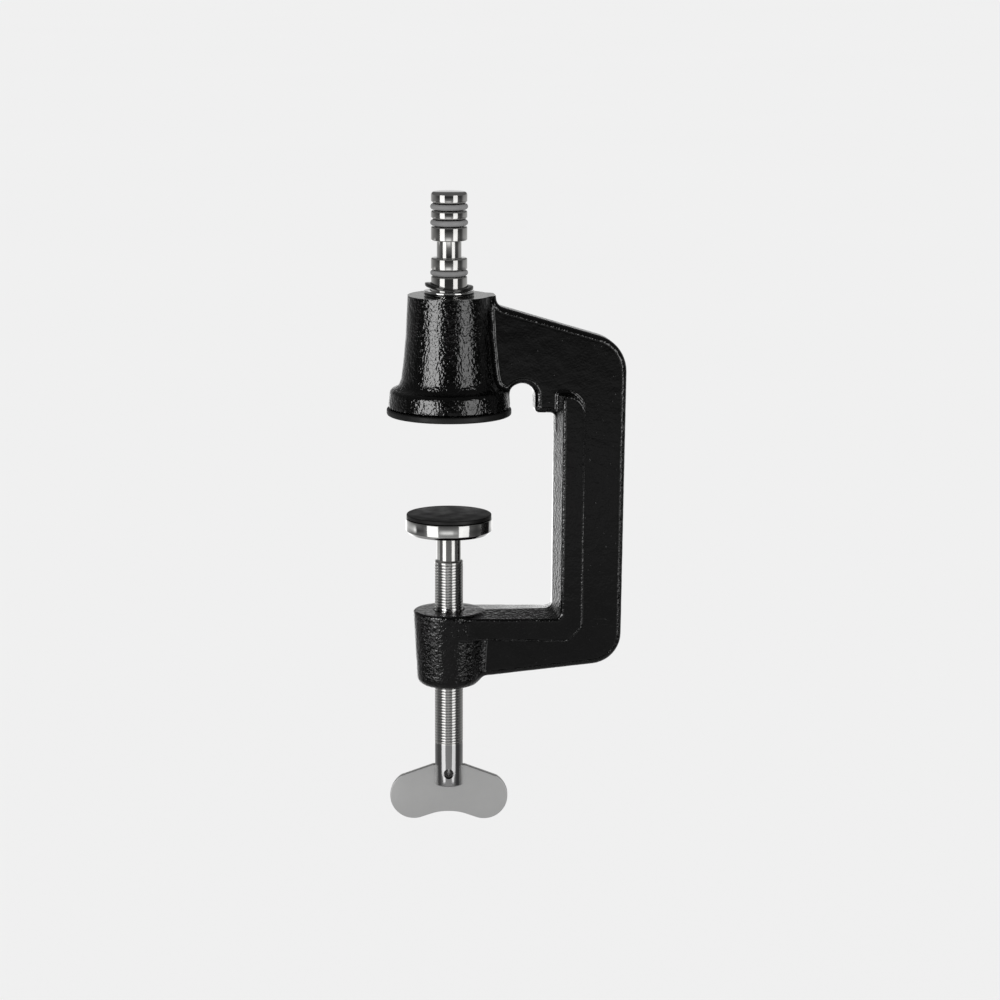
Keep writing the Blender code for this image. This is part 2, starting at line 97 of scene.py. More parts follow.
# Casting: outlines are corners of (x or radius, height), some with the radius that rounds them
GRID = 0.6
WEB_HALF, WEB_ROUND = 5.0, 2.2
BOSS_TOP, BOSS_FOOT = 41.6, 2.6
BOSS_SIDE = [
    (13.9, 46.0), (14.3, BOSS_TOP), (15.0, 27.0), (15.85, 18.0), (16.6, 12.3), (17.4, 10.3), (18.6, 9.4),
]
BOSS_RIM = [(19.8, 8.9), (20.45, 8.1), (20.6, 7.2), (21.1, BOSS_FOOT)]
JAW_REACH, JAW_CLEARANCE = 25.0, -10.0
LOWER_TOP, LOWER_FOOT = -69.3, -95.9
LOWER_OUTLINE = [
    (-5.0, LOWER_TOP, 0.0), (12.5, LOWER_TOP, 0.8), (11.0, LOWER_FOOT, 3.2), (-5.0, LOWER_FOOT, 0.0),
]
WEB_OUTLINE = [
    (8.0, 46.0, 0.0), (15.4, 46.0, 0.0), (16.2, 38.1, 3.6), (61.8, 24.15, 13.3), (60.4, -88.5, 10.9),
    (6.6, -93.2, 0.0), (6.6, -74.0, 0.0), (41.5, -74.0, 0.0), (41.5, -6.0, 0.0), (37.0, -6.0, 0.0),
    (37.0, 0.5, 2.5), (29.6, 0.5, 1.5), (29.6, 10.9, 4.6), (20.3, 10.9, 4.6), (20.3, 4.0, 0.0),
    (14.0, 4.0, 0.0),
]
FLANGE_HALF, FLANGE_ROUND = 12.3, 0.7
FLANGE_BACK = [(46.1, 7.6, 6.4), (45.6, -74.4, 1.5), (40.4, -79.4, 1.5), (0.0, -77.6, 0.0)]
FLANGE_EDGE = [(0.0, -70.1, 0.0), (37.9, -71.2, 2.5), (38.4, 7.6, 0.0)]
FLANGE_RIDGE = [(0.0, -69.4, 0.0), (36.4, -69.6, 2.5), (36.6, 7.6, 0.0)]
LOWER_FILLET, FLANGE_FILLET, BOSS_FILLET = 2.4, 0.8, 1.5
SCREW_BORE = 3.3
# Bores as (radius, foot, top), an open end running past the metal: spigot, screw, counterbore, spindle
BORES = [(6.55, 14.7, 60.0), (SCREW_BORE, 0.0, 20.0), (6.8, 0.0, 9.8), (5.3, -110.0, -60.0)]
# Lumps of the cast skin as (width, height)
COARSE_LUMPS, FINE_LUMPS = (4.6, 0.03), (1.9, 0.012)
FINE_LUMPS_OFFSET = Vector((7.0, 3.0, 5.0))
FAR = 1e3

# Turned pieces: the spigot's lands as (top, bottom, upper round, lower round)
SPIGOT_LANDS = [
    (77.2, 73.4, 1.1, 0.7), (70.8, 67.9, 0.7, 0.7), (65.3, 60.5, 0.5, 0.4), (54.5, 50.5, 0.5, 0.4),
    (48.2, 15.0, 0.5, 0.3),
]
GROOVE_RADIUS, NECK_RADIUS, NECK_ABOVE_LAND, GROOVE_ROUND = 4.2, 4.25, 3, 0.25
O_RING_HEIGHTS = {"o_ring_top": 72.1, "o_ring_middle": 66.6, "o_ring_lower": 49.35}
O_RING_RADIUS, O_RING_SECTION, O_RING_SIDES = 5.5, 1.0, 32
WASHER_BORE = 6.55
SEAT_SINK, THRUST_SINK = 0.2, 0.3
WAVE_RADIUS, WAVE_MIDDLE, WAVE_THICKNESS, WAVE_ROUND = 8.35, 44.45, 1.0, 0.2
WAVE_HEIGHT, WAVE_LEAN, WAVE_LEAN_TOWARDS = 0.3, 0.6, math.radians(165)
DISC_CHAMFER, DISC_ROUND, DISC_RECESS, DISC_RECESS_FLOOR, TIP_GAP = 1.2, 0.25, 6.2, -39.0, 0.3

# Spindle, its groove's half width and flank as parts of a pitch
THREAD_RADIUS, THREAD_PITCH, THREAD_DEPTH = 5.0, 1.0, 0.4
GROOVE_HALF, GROOVE_FLANK = 0.275, 0.145
THREAD_TOP, THREAD_FOOT, THREAD_LEAD_IN, THREAD_LEAD_OUT = -51.5, -116.8, 1.2, 0.4
# Painted shade: grey that the thread's groove root is tinted towards; then the plain end's darker tone and
# the height where its outline starts
THREAD_ROOT_PAINTED_SHADE, PLAIN_END_TONE, PLAIN_END_TOP = 0.5, 0.4, -120.0
THREAD_SIDES, RINGS_PER_PITCH = 72, 10
TIP_RADIUS, TIP_TOP, GROOVE_TOP, GROOVE_FOOT, TIP_GROOVE = 3.0, -37.0, -37.6, -38.9, 2.3
SPINDLE_NECK_TOP, SPINDLE_NECK, SPINDLE_FOOT = -42.2, 4.25, -132.4
SLOT_HALF, SLOT_TOP, SLOT_REACH = 1.45, -124.8, 6.0
PIN_HEIGHT, PIN_HOLE, PIN_RADIUS, PIN_BORE, PIN_HALF, PIN_EDGE = -127.6, 1.8, 1.5, 0.8, 4.3, 0.15
PIN_OPENING, PIN_STEPS = math.radians(35), 48
WING_HALF, WING_ROUND, WING_TURN = 1.15, 0.5, math.radians(-7.5)
WING_SIDE = [
    (5.5, -125.1, 0.5), (16.8, -129.2, 0.4), (20.7, -131.9, 8.3), (20.7, -144.8, 8.3), (11.0, -144.8, 8.3),
    (3.4, -142.2, 18.0),
]
ROUND_STEPS = 128


# ---- outlines and turned or flat solids -------------------------------------------------

def rounded(corners, segments=8, closed=True):
    """Outline through (x, z, radius) corners, each turned by an arc of its radius."""
    outline = []
    for index, (x, z, radius) in enumerate(corners):
        at_end = not closed and index in (0, len(corners) - 1)
        if radius == 0.0 or at_end:
            outline.append((x, z))
            continue
        corner = Vector((x, z))
        before = (Vector(corners[index - 1][:2]) - corner).normalized()
        after = (Vector(corners[(index + 1) % len(corners)][:2]) - corner).normalized()
        half = math.acos(max(-1.0, min(1.0, before.dot(after)))) / 2
        centre = corner + (before + after).normalized() * radius / math.sin(half)
        start = corner + before * radius / math.tan(half) - centre
        end = corner + after * radius / math.tan(half) - centre
        sweep = math.atan2(start.x * end.y - start.y * end.x, start.dot(end))
        for step in range(segments + 1):
            outline.append(tuple(centre + Matrix.Rotation(sweep * step / segments, 2) @ start))
    return outline


def to_mesh(shape, name):
    bmesh.ops.recalc_face_normals(shape, faces=shape.faces)
    mesh = bpy.data.meshes.new(name)
    shape.to_mesh(mesh)
    shape.free()
    return mesh


def turned(name, outline, closed=True, steps=ROUND_STEPS):
    """Mesh turned about Z from an outline of (radius, height) points."""
    shape = bmesh.new()
    rings = []
    for radius, height in outline:
        count = 1 if radius < 1e-6 else steps
        turn = [math.tau * step / steps for step in range(count)]
        rings.append([
            shape.verts.new((radius * math.cos(a) * MM, radius * math.sin(a) * MM, height * MM)) for a in turn
        ])
    pairs = list(zip(rings, rings[1:])) + ([(rings[-1], rings[0])] if closed else [])
    for upper, lower in pairs:
        if len(upper) + len(lower) == 2:
            continue
        for step in range(steps):
            corners = [upper[step % len(upper)], lower[step % len(lower)]]
            corners += [lower[(step + 1) % len(lower)], upper[(step + 1) % len(upper)]]
            shape.faces.new(list(dict.fromkeys(corners)))
    return to_mesh(shape, name)


def ring(name, outer, inner, low, high, edge):
    """Flat turned ring with rounded edges."""
    corners = [(outer, high, edge), (outer, low, edge), (inner, low, edge), (inner, high, edge)]
    return turned(name, rounded(corners, 4))


def size_of(node):
    """Radius, lowest and highest height of a round CAD node, in millimetres."""
    low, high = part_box(node)
    return (high.x - low.x) / 2 / MM, low.z / MM, high.z / MM


def add_piece(name, mesh, body, node, slot, *materials):
    """A finished piece on its CAD body, in place of one CAD node."""
    piece = bpy.data.objects.new(name, mesh)
    bpy.context.scene.collection.objects.link(piece)
    for material in materials:
        mesh.materials.append(material)
    mesh.shade_smooth()
    mesh.set_sharp_from_angle(angle=SHARP)
    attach(piece, body)
    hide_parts(node)


def apply_modifiers(piece):
    bpy.context.view_layer.update()
    evaluated = piece.evaluated_get(bpy.context.evaluated_depsgraph_get())
    mesh = bpy.data.meshes.new_from_object(evaluated)
    piece.modifiers.clear()
    return mesh


def cut_away(mesh, tools):
    """Mesh left after exact cuts with closed tool meshes."""
    body = bpy.data.objects.new("cut_body", mesh)
    bpy.context.scene.collection.objects.link(body)
    made = [body]
    for index, tool in enumerate(tools):
        cutter = bpy.data.objects.new(f"cutter_{index}", tool)
        bpy.context.scene.collection.objects.link(cutter)
        made.append(cutter)
        boolean = body.modifiers.new("Cut", "BOOLEAN")
        boolean.operation = "DIFFERENCE"
        boolean.solver = "EXACT"
        boolean.object = cutter
    result = apply_modifiers(body)
    for item in made:
        bpy.data.objects.remove(item, do_unlink=True)
    return result


# ---- casting: distance fields joined with fillets, then skinned ---------------------------

def outline_distance(outline, x, z):
    """Signed distance from a closed (x, z) outline, negative inside."""
    nearest = np.full(np.broadcast(x, z).shape, np.inf)
    inside = np.zeros(nearest.shape, bool)
    for (ax, az), (bx, bz) in zip(outline, outline[1:] + outline[:1]):
        ex, ez = bx - ax, bz - az
        px, pz = x - ax, z - az
        along = np.clip((px * ex + pz * ez) / (ex * ex + ez * ez), 0.0, 1.0)
        nearest = np.minimum(nearest, (px - along * ex) ** 2 + (pz - along * ez) ** 2)
        if bz != az:
            inside ^= ((az > z) != (bz > z)) & (px < ex * pz / ez)
    return np.where(inside, -1.0, 1.0) * np.sqrt(nearest)


def slab(flat, y, half, edge):
    """Distance from a plate of the given half thickness, its edges rounded."""
    side, face = flat + edge, np.abs(y) - half + edge
    outside = np.hypot(np.maximum(side, 0.0), np.maximum(face, 0.0))
    return outside + np.minimum(np.maximum(side, face), 0.0) - edge


def fillet(first, second, reach):
    """Union of two distances with a fillet that reaches the given length up each side."""
    share = np.maximum(reach - np.abs(first - second), 0.0) / reach
    return np.minimum(first, second) - share * share * reach / 4


def closed_outline(corners):
    return [(float(x), float(z)) for x, z in rounded(corners, 10)]


WEB_SHAPE = closed_outline(WEB_OUTLINE)
EDGE_SHAPE = closed_outline(FLANGE_EDGE + FLANGE_BACK)
RIDGE_SHAPE = closed_outline(FLANGE_RIDGE + FLANGE_BACK)
BOSS_SHAPE = [(-5.0, 46.0)] + BOSS_SIDE + BOSS_RIM + [(-5.0, BOSS_FOOT)]
LOWER_SHAPE = closed_outline(LOWER_OUTLINE)


def casting_distance(x, y, z):
    """Signed distance from the casting, in millimetres."""
    radius = np.hypot(x, y)
    web = slab(outline_distance(WEB_SHAPE, x, z), y, WEB_HALF, WEB_ROUND)
    share = np.clip(np.abs(y) / FLANGE_HALF, 0.0, 1.0)
    front = outline_distance(EDGE_SHAPE, x, z) * share + outline_distance(RIDGE_SHAPE, x, z) * (1 - share)
    flange = slab(front, y, FLANGE_HALF, FLANGE_ROUND)
    boss = outline_distance(BOSS_SHAPE, radius, z)
    lower = outline_distance(LOWER_SHAPE, radius, z)
    whole = fillet(fillet(web, lower, LOWER_FILLET), flange, FLANGE_FILLET)
    whole = fillet(whole, boss, BOSS_FILLET)
    for bore, low, high in BORES:
        hole = np.maximum(radius - bore, np.maximum(low - z, z - high))
        whole = np.maximum(whole, -hole)
    under_jaw = (radius < JAW_REACH) & (z > JAW_CLEARANCE)
    return np.maximum(whole, np.where(under_jaw, BOSS_FOOT - z, -FAR))


def skin(distance, low, high, step):
    """Quads over the zero surface of a distance function: one point per crossed grid cell."""
    axes = [np.arange(a, b + step, step) for a, b in zip(low, high)]
    field = distance(axes[0][:, None, None], axes[1][None, :, None], axes[2][None, None, :])
    inside = field < 0
    cells = tuple(n - 1 for n in field.shape)
    corners = [(i, j, k) for i in (0, 1) for j in (0, 1) for k in (0, 1)]
    count = np.zeros(cells, int)
    for i, j, k in corners:
        count += inside[i:i + cells[0], j:j + cells[1], k:k + cells[2]]
    active = np.argwhere((count > 0) & (count < 8))
    total, hits = np.zeros((len(active), 3)), np.zeros((len(active), 1))
    for first in corners:
        for axis in range(3):
            if first[axis]:
                continue
            second = list(first)
            second[axis] = 1
            a = field[tuple((active + first).T)]
            b = field[tuple((active + second).T)]
            crossed = ((a < 0) != (b < 0))[:, None]
            share = (a / np.where(a == b, 1.0, a - b))[:, None]
            point = np.array(first) + share * (np.array(second) - np.array(first))
            total += np.where(crossed, point, 0.0)
            hits += crossed
    points = np.array([axis[0] for axis in axes]) + (active + total / hits) * step
    number = np.full(cells, -1)
    number[tuple(active.T)] = np.arange(len(active))
    quads = []
    for axis in range(3):
        u, v = (axis + 1) % 3, (axis + 2) % 3
        ahead = np.roll(inside, -1, axis)
        changed = inside != ahead
        for other in (axis, u, v):
            edge = [slice(None)] * 3
            edge[other] = -1 if other == axis else 0
            changed[tuple(edge)] = False
            edge[other] = -1
            changed[tuple(edge)] = False
        starts = np.argwhere(changed)
        step_u, step_v = np.eye(3, dtype=int)[u], np.eye(3, dtype=int)[v]
        around = [starts, starts - step_u, starts - step_u - step_v, starts - step_v]
        quad = np.stack([number[tuple(c.T)] for c in around], axis=1)
        flip = ~inside[tuple(starts.T)]
        quad[flip] = quad[flip][:, ::-1]
        quads.append(quad)
    return points, np.concatenate(quads)


def settle_on(distance, points, quads, rounds=4):
    """Even out the points along the surface and draw them exactly onto it."""
    first = quads.ravel()
    second = np.roll(quads, -1, axis=1).ravel()
    for _ in range(rounds):
        total, count = np.zeros_like(points), np.zeros(len(points))
        for a, b in ((first, second), (second, first)):
            np.add.at(total, a, points[b])
            np.add.at(count, a, 1)
        points = points + 0.5 * (total / count[:, None] - points)
        value, slope = distance_slope(distance, points)
        points = points - slope * np.clip(value, -0.3, 0.3)[:, None]
    return points


def distance_slope(distance, points, step=0.02):
    """Distance at each point and the direction in which it grows."""
    x, y, z = points.T
    value = distance(x, y, z)
    slope = np.stack([
        distance(x + step, y, z) - value, distance(x, y + step, z) - value, distance(x, y, z + step) - value
    ], axis=1)
    length = np.maximum(np.linalg.norm(slope, axis=1), step * 0.2)
    return value, slope / length[:, None]


def cast_lumps(points, slope):
    """Raise and sink the skin a little, as sand-cast iron under thick enamel."""
    lift = np.empty(len(points))
    for index, point in enumerate(points):
        coarse = noise.noise(Vector(point) / COARSE_LUMPS[0])
        fine = noise.noise(Vector(point) / FINE_LUMPS[0] + FINE_LUMPS_OFFSET)
        lift[index] = COARSE_LUMPS[1] * coarse + FINE_LUMPS[1] * fine
    return points + slope * lift[:, None]


def casting_mesh():
    """Skin of the casting, cut flat at the boss top, where a bare face closes it."""
    low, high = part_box("clamp_frame")
    low = [value / MM - 2 * GRID for value in low]
    high = [value / MM + 2 * GRID for value in high]
    high[2] = BOSS_TOP + 2.0
    points, quads = skin(casting_distance, low, high, GRID)
    points = settle_on(casting_distance, points, quads)
    points = cast_lumps(points, distance_slope(casting_distance, points)[1])
    mesh = bpy.data.meshes.new("casting")
    mesh.from_pydata((points * MM).tolist(), [], quads.tolist())
    shape = bmesh.new()
    shape.from_mesh(mesh)
    everything = shape.verts[:] + shape.edges[:] + shape.faces[:]
    cut = bmesh.ops.bisect_plane(
        shape, geom=everything, plane_co=(0, 0, BOSS_TOP * MM), plane_no=(0, 0, 1), clear_outer=True
    )
    edges = [item for item in cut["geom_cut"] if isinstance(item, bmesh.types.BMEdge)]
    capped = bmesh.ops.triangle_fill(shape, use_beauty=True, edges=edges, normal=(0, 0, 1))
    for item in capped["geom"]:
        if isinstance(item, bmesh.types.BMFace):
            item.material_index = 1
    shape.to_mesh(mesh)
    shape.free()
    return mesh


# ---- turned and formed pieces --------------------------------------------------------------

def spigot_mesh():
    """Post of five lands with O-ring grooves and a locking neck, a screw bore from below."""
    radius, _, _ = size_of("spigot")
    corners = [(0.0, SPIGOT_LANDS[0][0], 0.0)]
    for index, (top, bottom, upper_round, lower_round) in enumerate(SPIGOT_LANDS):
        if index > 0:
            waist = NECK_RADIUS if index == NECK_ABOVE_LAND else GROOVE_RADIUS
            corners.append((waist, top, GROOVE_ROUND))
        corners += [(radius, top, upper_round), (radius, bottom, lower_round)]
        if index + 1 < len(SPIGOT_LANDS):
            below = NECK_RADIUS if index + 1 == NECK_ABOVE_LAND else GROOVE_RADIUS
            corners.append((below, bottom, GROOVE_ROUND))
    foot = SPIGOT_LANDS[-1][1]
    corners += [(SCREW_BORE, foot, 0.3), (SCREW_BORE, 2 * foot, 0.0), (0.0, 2 * foot + SCREW_BORE, 0.0)]
    return turned("spigot_post", rounded(corners, 6, closed=False), closed=False)


def o_ring_mesh(name, height):
    section = []
    for step in range(O_RING_SIDES):
        turn = math.tau * step / O_RING_SIDES
        out, up = O_RING_SECTION * math.cos(turn), O_RING_SECTION * math.sin(turn)
        section.append((O_RING_RADIUS + out, height + up))
    return turned(name, section)


def wave_mesh():
    """Spring washer bent across, low at front and back, that lies leaning to the right."""
    half = WAVE_THICKNESS / 2
    sides = [(WAVE_RADIUS, half), (WAVE_RADIUS, -half), (WASHER_BORE, -half), (WASHER_BORE, half)]
    corners = [(radius, height, WAVE_ROUND) for radius, height in sides]
    mesh = turned("spring_washer", rounded(corners, 4), steps=2 * ROUND_STEPS)
    for vertex in mesh.vertices:
        angle = math.atan2(vertex.co.y, vertex.co.x)
        lean = WAVE_LEAN * math.cos(angle - WAVE_LEAN_TOWARDS)
        vertex.co.z += (WAVE_MIDDLE + WAVE_HEIGHT * math.cos(2 * angle) + lean) * MM
    return mesh


def pad_mesh():
    radius, low, high = size_of("jaw_pad")
    corners = [(0.0, high, 0.0), (radius, high, 0.6), (radius, low, 0.7), (0.0, low, 0.0)]
    return turned("rubber_pad", rounded(corners, 6, closed=False), closed=False)


def disc_mesh():
    """Pressure disc with a chamfered lower rim, a hole for the tip and a recess above it."""
    radius, low, high = size_of("pressure_disc")
    hole = TIP_RADIUS + TIP_GAP
    corners = [
        (radius, high, 0.3), (radius, low + DISC_CHAMFER, DISC_ROUND),
        (radius - DISC_CHAMFER, low, DISC_ROUND), (hole, low, DISC_ROUND), (hole, DISC_RECESS_FLOOR, 0.1),
        (DISC_RECESS, DISC_RECESS_FLOOR, 0.1), (DISC_RECESS, high, 0.2),
    ]
    return turned("clamping_disc", rounded(corners, 4))


def facing_mesh():
    radius, low, high = size_of("disc_facing")
    corners = [(0.0, high, 0.0), (radius, high, 0.35), (radius, low, 0.15), (0.0, low, 0.0)]
    return turned("facing", rounded(corners, 4, closed=False), closed=False)


def spindle_mesh():
    """Spindle with a cut right-hand thread, a neck and tip above it and a slotted plain end."""
    above = [
        (0.0, TIP_TOP, 0.0), (TIP_RADIUS, TIP_TOP, 0.3), (TIP_RADIUS, GROOVE_TOP, 0.1),
        (TIP_GROOVE, GROOVE_TOP, 0.1), (TIP_GROOVE, GROOVE_FOOT, 0.1), (TIP_RADIUS, GROOVE_FOOT, 0.1),
        (TIP_RADIUS, SPINDLE_NECK_TOP, 0.0), (SPINDLE_NECK, SPINDLE_NECK_TOP, 1.0),
        (SPINDLE_NECK, THREAD_TOP, 0.5), (THREAD_RADIUS, THREAD_TOP, 0.6),
        (THREAD_RADIUS, THREAD_TOP - 1.0, 0.0),
    ]
    below = [
        (THREAD_RADIUS, PLAIN_END_TOP, 0.0), (THREAD_RADIUS, SPINDLE_FOOT, 0.5), (0.0, SPINDLE_FOOT, 0.0),
    ]
    outline = rounded(above, 5, closed=False)[:-1]
    start = len(outline)
    first = outline[-1][1]
    count = round((first - THREAD_FOOT + 0.2) / THREAD_PITCH * RINGS_PER_PITCH)
    for step in range(count):
        outline.append((THREAD_RADIUS, first - (step + 1) * THREAD_PITCH / RINGS_PER_PITCH))
    stop = len(outline)
    outline += rounded(below, 5, closed=False)
    mesh = turned("screw_spindle", outline, closed=False, steps=THREAD_SIDES)
    cut_thread(mesh, outline[stop - 1][1], outline[start][1])
    slot = box_mesh((-SLOT_REACH, -SLOT_HALF, SPINDLE_FOOT - 1.0), (SLOT_REACH, SLOT_HALF, SLOT_TOP))
    return cut_away(mesh, [with_wing(slot), with_wing(cross_bore(PIN_HOLE, 7.0))])


def cut_thread(mesh, low, high):
    """Press a helical groove into the rings of a spindle that lie between two heights."""
    for vertex in mesh.vertices:
        x, y, z = (value / MM for value in vertex.co)
        radius = math.hypot(x, y)
        if low - 1e-4 <= z <= high + 1e-4 and radius > THREAD_RADIUS - 0.01:
            scale = (radius - groove_depth(z, math.atan2(y, x) / math.tau)) / radius
            vertex.co.x *= scale
            vertex.co.y *= scale


def groove_depth(height, turn):
    """Depth of the thread's groove at a height, this part of a turn round the spindle."""
    lead = min((THREAD_TOP - 0.5 - height) / THREAD_LEAD_IN, (height - THREAD_FOOT) / THREAD_LEAD_OUT)
    phase = ((height - turn * THREAD_PITCH) / THREAD_PITCH) % 1.0
    share = min(1.0, max(0.0, (GROOVE_HALF - abs(phase - 0.5)) / GROOVE_FLANK))
    return THREAD_DEPTH * share * max(0.0, min(1.0, lead))


def with_wing(mesh):
    """Mesh turned from the XZ plane to the way the wing plate faces."""
    mesh.transform(Matrix.Rotation(WING_TURN, 4, "Z"))
    return mesh


def box_mesh(low, high):
    shape = bmesh.new()
    bmesh.ops.create_cube(shape, size=1.0)
    size = [(b - a) * MM for a, b in zip(low, high)]
    middle = [(a + b) / 2 * MM for a, b in zip(low, high)]
    place = Matrix.Translation(middle) @ Matrix.Diagonal((*size, 1.0))
    bmesh.ops.transform(shape, matrix=place, verts=shape.verts)
    return to_mesh(shape, "box_tool")


def cross_bore(radius, half):
    """Round cutter along Y through the pin's place."""
    outline = [(0.0, half), (radius, half), (radius, -half), (0.0, -half)]
    mesh = turned("bore_tool", outline, closed=False, steps=PIN_STEPS)
    mesh.transform(Matrix.Translation((0, 0, PIN_HEIGHT * MM)) @ Matrix.Rotation(math.radians(90), 4, "X"))
    return mesh


def flat_mesh(name, outline, half, edge):
    """Plate filled from an (x, z) outline, its edges rounded."""
    shape = bmesh.new()
    sides = []
    for y in (-half, half):
        sides.append([shape.verts.new((x * MM, y * MM, z * MM)) for x, z in outline])
    front, back = sides
    for index in range(len(front)):
        after = (index + 1) % len(front)
        shape.faces.new((front[index], front[after], back[after], back[index]))
    shape.faces.new(front)
    shape.faces.new(back[::-1])
    piece = bpy.data.objects.new(name, to_mesh(shape, name))
    bpy.context.scene.collection.objects.link(piece)
    bevel = piece.modifiers.new("Edges", "BEVEL")
    bevel.width = edge * MM
    bevel.segments = 5
    bevel.limit_method = "ANGLE"
    bevel.angle_limit = math.radians(60)
    result = apply_modifiers(piece)
    bpy.data.objects.remove(piece, do_unlink=True)
    return result


def wing_mesh():
    left = [(-x, z, radius) for x, z, radius in reversed(WING_SIDE)]
    outline = rounded(WING_SIDE + left, 20)
    plate = flat_mesh("wing", outline, WING_HALF, WING_ROUND)
    return with_wing(cut_away(plate, [cross_bore(PIN_HOLE, 3.0)]))


def pin_mesh():
    """Rolled spring pin with an open slot along it."""
    first = math.radians(90) + PIN_OPENING / 2
    turn = [first + (math.tau - PIN_OPENING) * step / PIN_STEPS for step in range(PIN_STEPS + 1)]
    path = [(PIN_RADIUS, a) for a in turn] + [(PIN_BORE, a) for a in reversed(turn)]
    outline = [(radius * math.cos(a), PIN_HEIGHT + radius * math.sin(a)) for radius, a in path]
    return with_wing(flat_mesh("cross_pin", outline, PIN_HALF, PIN_EDGE))


# ---- materials -----------------------------------------------------------------------------

def new_shader(name, colour, roughness, metallic=0.0, **sockets):
    """Principled material: (its node tree, its shader node), constants set on the shader itself."""
    material = bpy.data.materials.new(name)
    material.use_nodes = True
    tree = material.node_tree
    shader = tree.nodes["Principled BSDF"]
    shader.inputs["Base Color"].default_value = (*colour, 1.0)
    shader.inputs["Roughness"].default_value = roughness
    shader.inputs["Metallic"].default_value = metallic
    for socket, value in sockets.items():
        shader.inputs[socket.replace("_", " ")].default_value = value
    return material, tree, shader


def add_node(tree, kind, *linked, **settings):
    """Node of a kind. Linked outputs feed its first inputs in turn, None leaves one alone."""
    node = tree.nodes.new(kind)
    for name, value in settings.items():
        if hasattr(node, name):
            setattr(node, name, value)
        else:
            node.inputs[name.replace("_", " ")].default_value = value
    for index, output in enumerate(linked):
        if output is not None:
            tree.links.new(output, node.inputs[index])
    return node


def object_place(tree):
    return add_node(tree, "ShaderNodeTexCoord").outputs["Object"]


def grain(tree, scale, detail=2.0, roughness=0.5):
    """Noise over the object's place."""
    node = add_node(tree, "ShaderNodeTexNoise", object_place(tree))
    node.inputs["Scale"].default_value = scale
    node.inputs["Detail"].default_value = detail
    node.inputs["Roughness"].default_value = roughness
    return node.outputs[0]


def span(tree, source, low, high, start=0.0, end=1.0):
    """Source from low..high laid over start..end, held at both ends."""
    node = add_node(tree, "ShaderNodeMapRange", source)
    for name, value in (("From Min", low), ("From Max", high), ("To Min", start), ("To Max", end)):
        node.inputs[name].default_value = value
    return node.outputs[0]


def maths(tree, operation, first, second):
    node = add_node(tree, "ShaderNodeMath", operation=operation)
    for index, value in enumerate((first, second)):
        if isinstance(value, float):
            node.inputs[index].default_value = value
        else:
            tree.links.new(value, node.inputs[index])
    return node.outputs[0]


def blend(tree, share, first, second):
    """Colour that goes from first to second, each a node output, a colour or a grey level."""
    mix = add_node(tree, "ShaderNodeMix", share, data_type="RGBA")
    for socket, value in zip(mix.inputs[6:8], (first, second)):
        if isinstance(value, float):
            value = (value, value, value)
        if isinstance(value, tuple):
            socket.default_value = (*value, 1.0)
        else:
            tree.links.new(value, socket)
    return mix.outputs[2]


def two_tone(tree, shader, share, first, second):
    """Base colour that goes from first to second as share goes from 0 to 1."""
    tone = blend(tree, share, first, second)
    tree.links.new(tone, shader.inputs["Base Color"])
    return tone


def uneven_shine(tree, shader, share, low, high):
    """Roughness that goes from low to high over the middle of a noise."""
    tree.links.new(span(tree, share, 0.35, 0.65, low, high), shader.inputs["Roughness"])


def raised(tree, shader, height, distance):
    """Surface lifted by a height from 0 to 1 over a distance in metres."""
    bump = add_node(tree, "ShaderNodeBump", Strength=1.0, Distance=distance)
    tree.links.new(height, bump.inputs["Height"])
    tree.links.new(bump.outputs[0], shader.inputs["Normal"])


def axis_radius(tree):
    """Distance from the Z axis, in metres."""
    flat = add_node(tree, "ShaderNodeVectorMath", object_place(tree), operation="MULTIPLY")
    flat.inputs[1].default_value = (1.0, 1.0, 0.0)
    return add_node(tree, "ShaderNodeVectorMath", flat.outputs[0], operation="LENGTH").outputs["Value"]


def line_noise(tree, source, scale, detail=3.0):
    """Noise along one value, for turning lines."""
    node = add_node(tree, "ShaderNodeTexNoise", noise_dimensions="1D")
    tree.links.new(source, node.inputs["W"])
    node.inputs["Scale"].default_value = scale
    node.inputs["Detail"].default_value = detail
    return node.outputs[0]


def height_value(tree):
    return add_node(tree, "ShaderNodeSeparateXYZ", object_place(tree)).outputs["Z"]


# Enamel: radius in mm within which the skin belongs to the lower or the upper boss, how much calmer
# the flat faces are, height of the wrinkles in metres, and scales of the noises per metre
LOWER_BOSS_REACH, UPPER_BOSS_REACH, BETWEEN_BOSSES = 13, 22, (-30, -20)
FACE_CALM, WRINKLE_HEIGHT = 0.84, 0.00025
WRINKLE_SCALE, FINE_WRINKLE_SCALE, SPECK_SCALE = 720.0, 1400.0, 900.0
SHINE_SCALE, FLECK_SCALE = 160.0, 2600.0
ENAMEL_DARK, ENAMEL_FLECK = (0.0003, 0.0003, 0.0003), (0.003, 0.003, 0.003)


